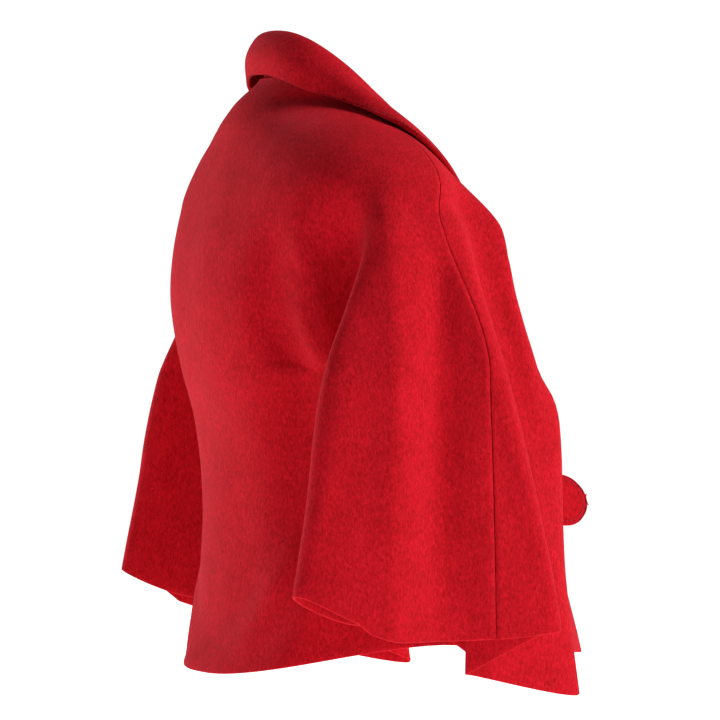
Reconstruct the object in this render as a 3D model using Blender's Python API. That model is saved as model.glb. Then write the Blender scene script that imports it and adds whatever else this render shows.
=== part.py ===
"""Cropped swing capelet in thick boiled wool.

The back is cut in one with the back half of both wide sleeves, and each front
with the front half of its sleeve. A turned-down collar runs round the neck and
a rounded tab stands forward from the right front at the waist.
Metres, +Z up, the front faces -Y. The origin is at the nape, on the wearer's
axis, level with the middle of the back neck seam.
"""
import math

import bpy
from mathutils import Vector

CLOTH = 0.0028            # thickness of the wool
COLLAR_CLOTH = 0.0042     # two layers, turned and pressed
TAB_CLOTH = 0.0046        # two layers, turned and stitched
MITRE = 2.2               # most that a crease lengthens the way through the cloth
SEAM_GAP = 0.0003         # between two pieces that are sewn together
FRONT_GAP = 0.003         # between the two front edges
UNDERARM = -0.275         # height where each sleeve leaves the body
YOKE_END = -0.085         # above it body and sleeves are one smooth oval
SLEEVE_START = -0.150     # below it the sleeve has its own section
BACK_SQUARENESS = 2.4     # exponent of the back half of each body section
FRONT_SQUARENESS = 1.75   # below 2 draws the fronts to a soft prow
NECK_DROP = 0.126         # how far the neck seam falls to the front
NECK_POWER = 1.75
NECK_HALF_WIDTH = 0.084
NECK_BACK = 0.074
NECK_FRONT = 0.098
NECK_REACH = 0.36         # share of the way to the underarm that the neck shapes

# One row for each level of the body.
# height, half width, side seam y, centre back y, centre front y
BODY_SECTIONS = (
    (0.000, 0.072, 0.000, 0.074, -0.070),
    (-0.012, 0.078, -0.002, 0.096, -0.074),
    (-0.024, 0.088, -0.004, 0.109, -0.077),
    (-0.034, 0.116, -0.006, 0.113, -0.079),
    (-0.046, 0.150, -0.008, 0.116, -0.081),
    (-0.060, 0.183, -0.011, 0.117, -0.084),
    (-0.085, 0.209, -0.017, 0.123, -0.090),
    (-0.120, 0.223, -0.022, 0.135, -0.097),
    (-0.165, 0.211, -0.018, 0.147, -0.125),
    (-0.215, 0.197, -0.012, 0.151, -0.166),
    (-0.275, 0.184, -0.008, 0.142, -0.180),
    (-0.330, 0.172, -0.012, 0.127, -0.191),
    (-0.400, 0.168, -0.020, 0.120, -0.204),
    (-0.480, 0.175, -0.030, 0.123, -0.222),
    (-0.520, 0.180, -0.034, 0.129, -0.232),
    (-0.560, 0.186, -0.038, 0.141, -0.242),
)
# One row for each level of a sleeve, seen from above.
# height, outer x, inner x, back fold y, front ridge y, pleat y, front fold x, front fold y
SLEEVE_SECTIONS = (
    (-0.085, 0.211, 0.184, 0.052, -0.018, -0.040, 0.170, -0.074),
    (-0.120, 0.227, 0.184, 0.048, -0.024, -0.044, 0.190, -0.078),
    (-0.160, 0.240, 0.184, 0.054, -0.036, -0.050, 0.203, -0.086),
    (-0.215, 0.252, 0.184, 0.075, -0.047, -0.050, 0.212, -0.092),
    (-0.275, 0.263, 0.184, 0.100, -0.059, -0.046, 0.216, -0.112),
    (-0.305, 0.266, 0.197, 0.108, -0.066, -0.044, 0.217, -0.129),
    (-0.340, 0.270, 0.198, 0.114, -0.073, -0.042, 0.218, -0.134),
    (-0.400, 0.275, 0.198, 0.122, -0.086, -0.037, 0.219, -0.135),
    (-0.480, 0.280, 0.201, 0.137, -0.103, -0.033, 0.220, -0.139),
    (-0.580, 0.284, 0.205, 0.153, -0.121, -0.028, 0.222, -0.151),
)
# The named lines down a sleeve, round from the back armhole to the front one.
# name, angle on the yoke (degrees from centre back), height of the hem
SLEEVE_LINES = (
    ("back armhole", 56, -0.510),
    ("inner back", 61, -0.505),
    ("back fold", 66, -0.477),
    ("back crest", 76, -0.518),
    ("trough", 84, -0.518),
    ("overarm seam", 90, -0.517),
    ("front ridge", 97, -0.511),
    ("pleat", 105, -0.550),
    ("front fold", 117, -0.574),
    ("inner front", 124, -0.548),
    ("front armhole", 131, -0.510),
)
SEAM_LINE = 5             # place of the overarm seam in that list
LAST_LINE = len(SLEEVE_LINES) - 1
BACK_HEM = -0.560
SIDE_HEM = -0.528
FRONT_HEM = -0.549
STEP_LINE = 2.62          # place of the small step in the sleeve's hem
STEP = 0.013

ROWS_ABOVE = 17           # rows of faces from the neck to the underarm
ROWS_BELOW = 9            # and from the underarm to the hems
ROWS = ROWS_ABOVE + ROWS_BELOW
SHOULDER_ROWS = 1.6       # above 1 draws the rows together over the shoulders
UNDERARM_ROWS = 1.5       # above 1 draws them together at the underarm
BACK_COLUMNS = 10         # from centre back to the armhole
FRONT_COLUMNS = 8         # from the armhole to the front edge
SPANS = (2, 4, 4, 2, 2, 3, 4, 5, 4, 3)   # faces between each two sleeve lines
FOLD_RADIUS = {2: 0.008, 6: 0.007, 7: 0.006, 8: 0.010}   # of the sleeve lines that are folds
# Soft folds of the body. A positive depth is a ridge, a negative one a trough.
# top height, bottom height, column at the top, at the bottom, width, depth
BODY_FOLDS = (
    (-0.125, -0.330, 0.80, 0.74, 0.090, 0.010),
    (-0.150, -0.480, 0.62, 0.60, 0.100, -0.010),
    (-0.400, -0.600, 0.72, 0.34, 0.090, 0.006),
    (-0.300, -0.620, 1.45, 1.50, 0.110, 0.006),
    (-0.300, -0.620, 1.26, 1.22, 0.090, -0.006),
)


def smoothstep(low, high, value):
    t = min(1.0, max(0.0, (value - low) / (high - low)))
    return t * t * (3.0 - 2.0 * t)


def section(table, height):
    """The row of a table at this height, on a smooth curve through its rows."""
    heights = [row[0] for row in table]
    height = min(heights[0], max(heights[-1], height))
    i = 0
    while i < len(table) - 2 and height < heights[i + 1]:
        i += 1
    low, high = table[i], table[i + 1]
    before, after = table[max(0, i - 1)], table[min(len(table) - 1, i + 2)]
    span = high[0] - low[0]
    t = (height - low[0]) / span
    values = []
    for a, b, c, d in zip(before[1:], low[1:], high[1:], after[1:]):
        slope_low = (c - a) / (high[0] - before[0]) * span
        slope_high = (d - b) / (after[0] - low[0]) * span
        values.append((2 * t**3 - 3 * t**2 + 1) * b + (t**3 - 2 * t**2 + t) * slope_low
                      + (3 * t**2 - 2 * t**3) * c + (t**3 - t**2) * slope_high)
    return values


def oval(height, angle):
    """A point of the body section, by its angle from centre back."""
    half, side, back, front = section(BODY_SECTIONS, height)
    cosine, sine = math.cos(angle), math.sin(angle)
    square = BACK_SQUARENESS if cosine > 0 else FRONT_SQUARENESS
    square += (2.0 - square) * smoothstep(-0.10, -0.02, height)
    reach = (back if cosine > 0 else front) - side
    x = half * abs(sine) ** (2.0 / square)
    y = side + reach * abs(cosine) ** (2.0 / square)
    return Vector((x, y))


def armhole_angles(height):
    """Where the body's section stops, behind and in front of the armhole."""
    down = min(1.0, max(0.0, (height + 0.10) / (UNDERARM + 0.10)))
    opening = math.sqrt(1.0 - down * down)
    back = math.radians(90.0 - (90.0 - SLEEVE_LINES[0][1]) * opening)
    front = math.radians(90.0 + (SLEEVE_LINES[-1][1] - 90.0) * opening)
    return back, front


def valley(height):
    """Depth of the soft valley between body and sleeve, above the underarm."""
    down = (height + 0.10) / (UNDERARM + 0.10)
    return 0.030 * math.sin(math.pi * min(1.0, max(0.0, down))) ** 1.5


def body_point(height, column):
    """Plan of the body: column runs 0 to 1 over the back and 1 to 2 over the front."""
    back_angle, front_angle = armhole_angles(height)
    ahead = column - 1.0
    if column <= 1.0:
        point = oval(height, back_angle * column)
        point.y -= valley(height) * column**8
    else:
        point = oval(height, front_angle + (math.pi - front_angle) * ahead)
        point.y += 0.6 * valley(height) * (1.0 - ahead) ** 8
    return point + point.normalized() * body_folds(height, column)


def body_folds(height, column):
    """How far the soft folds lift the cloth at one place of the body."""
    lift = 0.0
    for top, bottom, column_top, column_bottom, width, depth in BODY_FOLDS:
        down = (height - top) / (bottom - top)
        if 0.0 < down < 1.0:
            crest = column_top + (column_bottom - column_top) * down
            lift += depth * math.sin(math.pi * down) * math.exp(-((column - crest) / width) ** 2)
    return lift


def sleeve_lines(height):
    """Plan of every sleeve line at this height, from back to front armhole."""
    outer, inner, back, ridge, pleat, front_x, front_y = section(SLEEVE_SECTIONS, height)
    below = height < UNDERARM
    back_end = Vector((inner, -0.008)) if below else body_point(height, 1.0)
    front_end = Vector((inner, -0.008)) if below else body_point(height, 1.00001)
    back_fold = Vector((outer - 0.015, back))
    front_fold = Vector((front_x, front_y))
    forward = smoothstep(-0.11, -0.28, height)
    own = [
        back_end,
        back_end.lerp(back_fold, 0.5) + Vector((0.001, -0.003)),
        back_fold,
        Vector((outer, 0.040)),
        Vector((outer - 0.008 * forward, 0.012 - 0.030 * forward)),
        Vector((outer - 0.002, -0.009 - 0.039 * forward)),
        Vector((outer - 0.009, ridge)),
        Vector((outer - 0.029, pleat)),
        front_fold,
        front_end.lerp(front_fold, 0.5) + Vector((0.004, 0.0)),
        front_end,
    ]
    share = smoothstep(YOKE_END, SLEEVE_START, height)
    points = []
    for line, point in zip(SLEEVE_LINES, own):
        points.append(oval(height, math.radians(line[1])).lerp(point, share))
    points[0], points[-1] = back_end, front_end
    return points


def curve(points, place, first, last, folded=0.0):
    """A smooth curve through points; place counts points, and need not be whole."""
    i = min(len(points) - 2, int(place))
    t = place - i
    before = points[i - 1] if i > 0 else first
    after = points[i + 2] if i + 2 < len(points) else last
    b, c = points[i], points[i + 1]
    chord = (c - b).length
    slope_b = (c - before) * (chord / ((b - before).length + chord))
    slope_c = (after - b) * (chord / ((after - c).length + chord))
    if folded and i in FOLD_RADIUS:
        slope_b = slope_b.lerp(round_slope(c - before, chord, FOLD_RADIUS[i]), folded)
    if folded and i + 1 in FOLD_RADIUS:
        slope_c = slope_c.lerp(round_slope(after - b, chord, FOLD_RADIUS[i + 1]), folded)
    return ((2 * t**3 - 3 * t**2 + 1) * b + (t**3 - 2 * t**2 + t) * slope_b
            + (3 * t**2 - 2 * t**3) * c + (t**3 - t**2) * slope_c)


def round_slope(across, chord, radius):
    """The slope that turns a fold of this radius at the end of a chord."""
    return across.normalized() * min(math.sqrt(6.0 * chord * radius), 0.9 * chord)


def sleeve_point(height, place):
    """Plan of the sleeve; place counts sleeve lines from the back armhole."""
    points = sleeve_lines(height)
    folded = smoothstep(-0.18, -0.34, height)
    if height < UNDERARM:
        return curve(points, place, points[-2], points[1], folded)
    first = body_point(height, 0.85)
    last = body_point(height, 1.15)
    return curve(points, place, first, last, folded)


def at_neck(point, height, angle):
    """Draw a point of the yoke in towards the neck seam."""
    top = neck_height(angle)
    level = max(0.0, (top - height) / (top - UNDERARM)) / NECK_REACH
    share = max(0.0, 1.0 - level**0.6) ** 2
    reach = NECK_BACK if math.cos(angle) > 0 else NECK_FRONT
    neck = Vector((NECK_HALF_WIDTH * math.sin(angle), reach * math.cos(angle)))
    return point.lerp(neck, share)


def neck_height(angle):
    return -NECK_DROP * (math.sin(angle / 2) ** 2) ** NECK_POWER


def body_hem(column):
    if column <= 1.0:
        return SIDE_HEM + (BACK_HEM - SIDE_HEM) * math.cos(column * math.pi / 2) ** 1.5
    return SIDE_HEM + (FRONT_HEM - SIDE_HEM) * math.sin((column - 1.0) * math.pi / 2) ** 1.5


def sleeve_hem(place):
    i = min(LAST_LINE - 1, int(place))
    share = smoothstep(0.0, 1.0, place - i)
    hem = SLEEVE_LINES[i][2] * (1.0 - share) + SLEEVE_LINES[i + 1][2] * share
    if 2.0 < place < STEP_LINE:
        hem += STEP * 0.35 * (place - 2.0) / (STEP_LINE - 2.0)
    return hem


def row_height(row, top, hem):
    """Height of a row of points on a line from its top to its hem."""
    if row <= ROWS_ABOVE:
        share = 1.0 - (1.0 - (row / ROWS_ABOVE) ** SHOULDER_ROWS) ** UNDERARM_ROWS
        return top + (UNDERARM - top) * share
    return UNDERARM + (hem - UNDERARM) * (row - ROWS_ABOVE) / ROWS_BELOW


def sleeve_places():
    places = [0.0]
    for line, faces in enumerate(SPANS):
        for step in range(1, faces + 1):
            share = step / faces
            places.append(line + share - 0.09 * math.sin(2 * math.pi * share))
    return places


PLACES = sleeve_places()
UNDERARM_POINT = ("body", ROWS_ABOVE, BACK_COLUMNS)
SEAM_PLACE = sum(SPANS[:SEAM_LINE])
BODY_LAST = BACK_COLUMNS + FRONT_COLUMNS + 1


def body_key(row, column):
    """Columns 0 to BACK_COLUMNS are the back, the rest the front."""
    if row >= ROWS_ABOVE and column == BACK_COLUMNS + 1:
        column = BACK_COLUMNS
    return ("body", row, column)


def sleeve_key(row, place):
    if row <= ROWS_ABOVE and place == 0:
        return body_key(row, BACK_COLUMNS)
    if row <= ROWS_ABOVE and place == len(PLACES) - 1:
        return body_key(row, BACK_COLUMNS + 1)
    if place == len(PLACES) - 1:
        place = 0
    return ("sleeve", row, place)


def body_column(column):
    if column <= BACK_COLUMNS:
        return column / BACK_COLUMNS
    return 1.0 + (column - BACK_COLUMNS - 1) / FRONT_COLUMNS + 1e-6


def yoke_angle(column):
    """Angle on the neck seam of a body column."""
    back, front = (math.radians(SLEEVE_LINES[i][1]) for i in (0, -1))
    if column <= 1.0:
        return back * column
    return front + (math.pi - front) * (column - 1.0)


def place_angle(place):
    i = min(LAST_LINE - 1, int(place))
    low, high = SLEEVE_LINES[i][1], SLEEVE_LINES[i + 1][1]
    return math.radians(low + (high - low) * (place - i))


def half_garment():
    """Points and faces of the cloth's middle surface on the wearer's left."""
    points, faces = {}, []
    for row in range(ROWS + 1):
        for index in range(BODY_LAST + 1):
            column = body_column(index)
            angle = yoke_angle(column)
            height = row_height(row, neck_height(angle), body_hem(column))
            x, y = at_neck(body_point(height, min(column, 2.0)), height, angle)
            points[body_key(row, index)] = Vector((x, y, height))
        for index in range(1, len(PLACES) - 1 if row <= ROWS_ABOVE else len(PLACES)):
            place = PLACES[index]
            angle = place_angle(place)
            height = row_height(row, neck_height(angle), sleeve_hem(place))
            x, y = at_neck(sleeve_point(height, place), height, angle)
            points[sleeve_key(row, index)] = Vector((x, y, height))
    for row in range(ROWS):
        for index in range(BODY_LAST):
            if index != BACK_COLUMNS:
                piece = "back" if index < BACK_COLUMNS else "front"
                corners = [body_key(row + i, index + j) for i, j in ((0, 0), (0, 1), (1, 1), (1, 0))]
                faces.append((piece, corners))
        for index in range(len(PLACES) - 1):
            piece = "back" if index < SEAM_PLACE else "front"
            corners = [sleeve_key(row + i, index + j) for i, j in ((0, 0), (0, 1), (1, 1), (1, 0))]
            faces.append((piece, corners))
    return points, faces


def surface_normals(points, faces):
    """The way out at each point, longer in a crease so that the wall keeps its thickness."""
    normals = {key: Vector() for key in points}
    around = {key: [] for key in points}
    for _piece, corners in faces:
        a, b, c, d = (points[key] for key in corners)
        face_normal = (c - a).cross(d - b)
        for key in corners:
            normals[key] += face_normal
            around[key].append(face_normal.normalized())
    for key, normal in normals.items():
        normal.normalize()
        if key == UNDERARM_POINT:
            normal.xyz = (0.0, 0.0, -1.0)
        lean = sum(abs(normal.dot(other)) for other in around[key]) / len(around[key])
        normal *= min(MITRE, 1.0 / max(lean, 0.1))
    return normals


def seam_shift(points, faces, piece):
    """Small moves that draw a piece's sewn edges back from its neighbour's."""
    here = {key for name, corners in faces if name == piece for key in corners}
    there = {key for name, corners in faces if name != piece for key in corners}
    moves = {key: Vector() for key in here & there}
    for name, corners in faces:
        if name != piece:
            continue
        middle = sum((points[key] for key in corners), Vector()) / 4
        for key in corners:
            if key in moves:
                moves[key] += middle - points[key]
    on_seam = {}
    for key, pull in moves.items():
        along = seam_direction(points, moves, key)
        pull -= along * pull.dot(along)
        on_seam[key] = pull.normalized() * SEAM_GAP
    return on_seam


def seam_direction(points, seam, key):
    part, row, index = key
    above = (part, row - 1, index)
    below = (part, row + 1, index)
    start = points[above] if above in seam else points[key]
    end = points[below] if below in seam else points[key]
    return (end - start).normalized()


def mirror(point):
    return Vector((-point.x, point.y, point.z))


def split(points, corners):
    """Two triangles, cut along the shorter diagonal so that both sides match."""
    a, b, c, d = corners
    if (points[a] - points[c]).length <= (points[b] - points[d]).length:
        return (a, b, c), (a, c, d)
    return (b, c, d), (b, d, a)


def shell(name, points, normals, faces, thickness, material):
    """One closed wall: both sides of a surface, joined round its free edges."""
    keys = list(points)
    number = {key: i for i, key in enumerate(keys)}
    outside = [points[key] + normals[key] * thickness / 2 for key in keys]
    inside = [points[key] - normals[key] * thickness / 2 for key in keys]
    count = len(keys)
    polygons, edges = [], {}
    for corners in faces:
        loop = [number[key] for key in corners]
        for triangle in split(points, corners):
            polygons.append([number[key] for key in triangle])
            polygons.append([number[key] + count for key in reversed(triangle)])
        for a, b in zip(loop, loop[1:] + loop[:1]):
            edges[frozenset((a, b))] = None if frozenset((a, b)) in edges else (a, b)
    for edge in edges.values():
        if edge:
            a, b = edge
            polygons.append([b, a, a + count, b + count])
    mesh = bpy.data.meshes.new(name)
    mesh.from_pydata(outside + inside, [], polygons)
    mesh.validate()
    mesh.shade_smooth()
    mesh.set_sharp_from_angle(angle=math.radians(50))
    mesh.materials.append(material)
    thing = bpy.data.objects.new(name, mesh)
    bpy.context.scene.collection.objects.link(thing)
    return thing


def wool(name, colour, roughness):
    material = bpy.data.materials.new(name)
    material.use_nodes = True
    surface = material.node_tree.nodes["Principled BSDF"]
    surface.inputs["Base Color"].default_value = (*colour, 1.0)
    surface.inputs["Roughness"].default_value = roughness
    return material


def make_piece(name, piece, sides, points, normals, faces, material):
    """A cut piece. sides is (1,), (-1,) or both, which meet at centre back."""
    shift = seam_shift(points, faces, piece)
    piece_points, piece_normals, piece_faces = {}, {}, []
    for side in sides:
        for part, corners in faces:
            if part != piece:
                continue
            loop = []
            for key in corners:
                middle = piece == "back" and key[0] == "body" and key[2] == 0
                own = (key, 0 if middle else side)
                point = points[key] + shift.get(key, Vector())
                normal = normals[key].copy()
                if middle:
                    point.x, normal.x = 0.0, 0.0
                    normal.normalize()
                if key[0] == "body" and key[2] == BODY_LAST:
                    point.x = FRONT_GAP / 2
                if side < 0 and not middle:
                    point, normal = mirror(point), mirror(normal)
                piece_points[own], piece_normals[own] = point, normal
                loop.append(own)
            piece_faces.append(loop if side > 0 else loop[::-1])
    return shell(name, piece_points, piece_normals, piece_faces, CLOTH, material)


COLLAR_END = math.radians(168)
COLLAR_COLUMNS = 36
COLLAR_ROWS = 11
COLLAR_LIFT = 0.0042      # the stand's lower edge above the neck seam


def yoke(angle, height):
    """A point of the cloth over the shoulders, with the way out from it."""
    step = 0.002
    x, y = at_neck(oval(height, angle), height, angle)
    x_low, y_low = at_neck(oval(height - step, angle), height - step, angle)
    outward = Vector((math.sin(angle), math.cos(angle), 0.0))
    down = Vector((x_low - x, y_low - y, -step))
    across = outward.cross(Vector((0.0, 0.0, 1.0)))
    away = down.cross(across).normalized()
    if away.z < 0:
        away.negate()
    return Vector((x, y, height)), away


def collar_profile(angle):
    """The collar's section at one angle: seam, stand, roll and edge of the fall."""
    turned = math.sin(angle / 2) ** 2
    outward = Vector((math.sin(angle), math.cos(angle), 0.0))
    seam_z = neck_height(angle)
    seam, _away = yoke(angle, seam_z)
    steep = (neck_height(angle + 0.01) - seam_z) / (0.01 * NECK_HALF_WIDTH)
    lift = COLLAR_LIFT * math.sqrt(1.0 + steep**2)
    base = seam + Vector((0.0, 0.0, lift)) - outward * 0.0015
    roll_z = 0.042 - 0.152 * turned**1.36
    edge_z = -0.003 - 0.084 * turned - 0.075 * turned**3
    cloth, away = yoke(angle, edge_z)
    edge = cloth + away * 0.0075 + outward * 0.004 * (1 - turned) ** 4
    roll = base.lerp(edge, 0.13)
    roll.z = max(roll_z, base.z + 0.012)
    inner = roll - outward * 0.005
    inner.z -= 0.004
    outer = roll + outward * 0.008
    outer.z -= 0.006
    middle = outer.lerp(edge, 0.5) + (away + outward) * 0.0025
    return [base, base.lerp(inner, 0.5), inner, roll, outer, middle, edge]


def make_collar(material):
    points, faces = {}, []
    for column in range(COLLAR_COLUMNS + 1):
        angle = COLLAR_END * (2 * column / COLLAR_COLUMNS - 1)
        profile = collar_profile(abs(angle))
        for row in range(COLLAR_ROWS + 1):
            place = row / COLLAR_ROWS * (len(profile) - 1)
            start = 2 * profile[0] - profile[1]
            end = 2 * profile[-1] - profile[-2]
            point = curve(profile, place, start, end)
            points[row, column] = point if angle >= 0 else mirror(point)
    for column in range(COLLAR_COLUMNS):
        for row in range(COLLAR_ROWS):
            faces.append([(row + i, column + j) for i, j in ((0, 0), (0, 1), (1, 1), (1, 0))])
    normals = surface_normals(points, [("collar", corners) for corners in faces])
    return shell("collar", points, normals, faces, COLLAR_CLOTH, material)


TAB_HEIGHT = -0.403       # middle of the tab
TAB_WIDTH = 0.050
TAB_REACH = 0.073         # from its sewn end to its rounded end
TAB_SEWN = 0.026          # length that lies on the front
FRONT_LENGTH = 0.27       # of the front's section, from side seam to front edge
TAB_LIFT = (CLOTH + TAB_CLOTH) / 2 + 0.0006


def tab_point(distance, height):
    """The tab lies along the right front, then stands forward past its edge."""
    on_front = max(0.0, TAB_SEWN - distance)
    column = 2.0 - on_front / FRONT_LENGTH
    here = body_point(height, column)
    behind = body_point(height, column - 0.02)
    along = (here - behind).normalized()
    away = Vector((-along.y, along.x))
    if away.y > 0:
        away.negate()
    plan = here + away * TAB_LIFT
    past = distance - TAB_SEWN
    if past > 0:
        turn = smoothstep(0.0, 0.020, past)
        plan += along.lerp(Vector((-0.10, -1.0)), 0.35 + 0.65 * turn) * past
    return Vector((-plan.x, plan.y, height))


def make_tab(material):
    """A short strap with a half-round end."""
    radius = TAB_WIDTH / 2
    across, along = 8, 16
    points, faces = {}, []
    for i in range(along + 1):
        distance = TAB_REACH * math.sin(i / along * math.pi / 2)
        past = max(0.0, distance - (TAB_REACH - radius))
        half = max(0.004, math.sqrt(max(0.0, radius**2 - past**2)))
        for j in range(across + 1):
            rise = half * (2 * j / across - 1)
            points[i, j] = tab_point(distance, TAB_HEIGHT + rise)
    for i in range(along):
        for j in range(across):
            faces.append([(i + a, j + b) for a, b in ((0, 0), (0, 1), (1, 1), (1, 0))])
    normals = surface_normals(points, [("tab", corners) for corners in faces])
    return shell("front_tab", points, normals, faces, TAB_CLOTH, material)


def main():
    for thing in list(bpy.data.objects):
        bpy.data.objects.remove(thing)
    red = wool("boiled_wool", (0.58, 0.006, 0.018), 0.95)
    collar_red = wool("collar_wool", (0.55, 0.006, 0.018), 0.95)
    points, faces = half_garment()
    normals = surface_normals(points, faces)
    make_piece("back_and_sleeve_backs", "back", (1, -1), points, normals, faces, red)
    make_piece("left_front_and_sleeve", "front", (1,), points, normals, faces, red)
    make_piece("right_front_and_sleeve", "front", (-1,), points, normals, faces, red)
    make_collar(collar_red)
    make_tab(collar_red)


main()
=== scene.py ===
# %% [markdown]
# A cropped swing capelet in thick boiled wool, worn on nobody.
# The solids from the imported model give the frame. Each one is replaced here by
# the same piece made finer, with softer edges, creases, stitching and nap.

# %% Load the frame
import math

import bpy
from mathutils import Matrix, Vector, noise


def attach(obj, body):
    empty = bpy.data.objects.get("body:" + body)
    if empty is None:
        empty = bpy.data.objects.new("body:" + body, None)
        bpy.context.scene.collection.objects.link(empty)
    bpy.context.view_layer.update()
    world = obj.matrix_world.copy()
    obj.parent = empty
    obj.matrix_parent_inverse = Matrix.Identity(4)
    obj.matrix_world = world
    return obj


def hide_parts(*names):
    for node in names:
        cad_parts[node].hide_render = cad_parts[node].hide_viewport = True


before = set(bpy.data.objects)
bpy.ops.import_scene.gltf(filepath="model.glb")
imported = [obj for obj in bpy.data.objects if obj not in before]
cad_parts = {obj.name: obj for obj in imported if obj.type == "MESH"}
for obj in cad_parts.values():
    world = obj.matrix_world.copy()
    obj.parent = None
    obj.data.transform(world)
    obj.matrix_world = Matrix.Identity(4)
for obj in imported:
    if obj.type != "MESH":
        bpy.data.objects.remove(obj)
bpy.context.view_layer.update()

# %% [markdown]
# The camera comes first, so that every later choice can be judged through it.
# It stands level with the middle of the cloth, beside the right sleeve and a
# little behind it, with a long lens, which keeps the hems straight and level.

# %% Camera
VIEW_AZIMUTH = math.radians(250)
VIEW_DISTANCE = 4.0
LENS = 210.0
SENSOR = 36.0
TARGET_RIGHT = 0.019      # of the wearer's axis, as the camera sees it
TARGET_DOWN = 0.267       # below the nape
screen_right = Vector((math.cos(VIEW_AZIMUTH), math.sin(VIEW_AZIMUTH), 0.0))
screen_near = Vector((math.sin(VIEW_AZIMUTH), -math.cos(VIEW_AZIMUTH), 0.0))
target = screen_right * TARGET_RIGHT + Vector((0.0, 0.0, -TARGET_DOWN))

camera = bpy.data.objects.new("camera", bpy.data.cameras.new("camera"))
camera.data.sensor_width = SENSOR
camera.data.lens = LENS
camera.location = target + screen_near * VIEW_DISTANCE
camera.rotation_euler = screen_near.to_track_quat("Z", "Y").to_euler()
bpy.context.scene.collection.objects.link(camera)
bpy.context.scene.camera = camera
print("camera stands at", tuple(round(c, 3) for c in camera.location))

# %% [markdown]
# Every size of the garment is a named number or a row in a short table.
# Nearly all repeat the ones that the solids were made from, so the fine cloth
# lies where the plain cloth was. All of them are in metres or degrees.

# %% Sizes of the cloth
CLOTH = 0.0028            # thickness of the wool
COLLAR_CLOTH = 0.0042     # two layers, turned and pressed
TAB_CLOTH = 0.0046        # two layers, turned and stitched
SEAM_GAP = 0.0003         # that each sewn edge is drawn back from the seam
FRONT_GAP = 0.003         # between the two front edges
MITRE = 2.2               # most that a crease lengthens the way through the cloth
UNDERARM = -0.275         # height where each sleeve leaves the body
YOKE_END = -0.085         # above it body and sleeves are one smooth oval
SLEEVE_START = -0.150     # below it the sleeve has its own section
BACK_SQUARENESS = 2.4     # exponent of the back half of each body section
FRONT_SQUARENESS = 1.75   # below 2 draws the fronts to a soft prow
NECK_DROP = 0.126         # how far the neck seam falls to the front
NECK_POWER = 1.75         # above 1 keeps the fall for the front
NECK_HALF_WIDTH = 0.084
NECK_BACK = 0.074         # how far the neck seam stands behind the wearer's axis
NECK_FRONT = 0.098        # and in front of it
NECK_REACH = 0.36         # share of the way to the underarm that the neck shapes
print("wool", CLOTH * 1000, "mm thick")

# %% [markdown]
# The body is a stack of ovals, one row of the table for each level. A smooth
# curve through the rows gives the level in between.

# %% Body sections
# height, half width, side seam y, centre back y, centre front y
BODY_SECTIONS = (
    (0.000, 0.072, 0.000, 0.074, -0.070),
    (-0.012, 0.078, -0.002, 0.096, -0.074),
    (-0.024, 0.088, -0.004, 0.109, -0.077),
    (-0.034, 0.116, -0.006, 0.113, -0.079),
    (-0.046, 0.150, -0.008, 0.116, -0.081),
    (-0.060, 0.183, -0.011, 0.117, -0.084),
    (-0.085, 0.209, -0.017, 0.123, -0.090),
    (-0.120, 0.223, -0.022, 0.135, -0.097),
    (-0.165, 0.211, -0.018, 0.147, -0.125),
    (-0.215, 0.197, -0.012, 0.151, -0.166),
    (-0.275, 0.184, -0.008, 0.142, -0.180),
    (-0.330, 0.172, -0.012, 0.127, -0.191),
    (-0.400, 0.168, -0.020, 0.120, -0.204),
    (-0.480, 0.175, -0.030, 0.123, -0.222),
    (-0.520, 0.180, -0.034, 0.129, -0.232),
    (-0.560, 0.186, -0.038, 0.141, -0.242),
)
print(len(BODY_SECTIONS), "levels of the body")

# %% [markdown]
# A level between two rows is read off a cubic curve through both, which keeps
# the slope of their neighbours. Straight lines would leave a faint band at each
# row, and brushed wool in a raking light shows every such band.

# %% Levels between the rows
def smoothstep(low, high, value):
    """0 below low, 1 above high, and a soft S between them."""
    t = min(1.0, max(0.0, (value - low) / (high - low)))
    return t * t * (3.0 - 2.0 * t)


def section(table, height):
    """The row of a table at this height, on a smooth curve through its rows."""
    heights = [row[0] for row in table]
    height = min(heights[0], max(heights[-1], height))
    i = 0
    while i < len(table) - 2 and height < heights[i + 1]:
        i += 1
    low, high = table[i], table[i + 1]
    before, after = table[max(0, i - 1)], table[min(len(table) - 1, i + 2)]
    span = high[0] - low[0]
    t = (height - low[0]) / span
    values = []
    for a, b, c, d in zip(before[1:], low[1:], high[1:], after[1:]):
        slope_low = (c - a) / (high[0] - before[0]) * span
        slope_high = (d - b) / (after[0] - low[0]) * span
        values.append((2 * t**3 - 3 * t**2 + 1) * b + (t**3 - 2 * t**2 + t) * slope_low
                      + (3 * t**2 - 2 * t**3) * c + (t**3 - t**2) * slope_high)
    return values


print("body is", round(2000 * section(BODY_SECTIONS, SLEEVE_START)[0]), "mm wide where the sleeves start")

# %% [markdown]
# Each level is a squared oval, shaped by one exponent. At 2 it is a plain oval.
# Above 2 it fills its corners, as the back does, and below 2 it draws to a soft
# prow, as the fronts do where they meet. At the neck it turns plain again.

# %% Ovals
PLAIN = (-0.10, -0.02)    # heights between which the ovals turn plain


def oval(height, angle):
    """A point of the body section, by its angle from centre back."""
    half, side, back, front = section(BODY_SECTIONS, height)
    cosine, sine = math.cos(angle), math.sin(angle)
    square = BACK_SQUARENESS if cosine > 0 else FRONT_SQUARENESS
    square += (2.0 - square) * smoothstep(*PLAIN, height)
    reach = (back if cosine > 0 else front) - side
    x = half * abs(sine) ** (2.0 / square)
    y = side + reach * abs(cosine) ** (2.0 / square)
    return Vector((x, y))


print("centre back stands", round(1000 * oval(SLEEVE_START, 0.0).y), "mm behind the wearer's axis")

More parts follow.
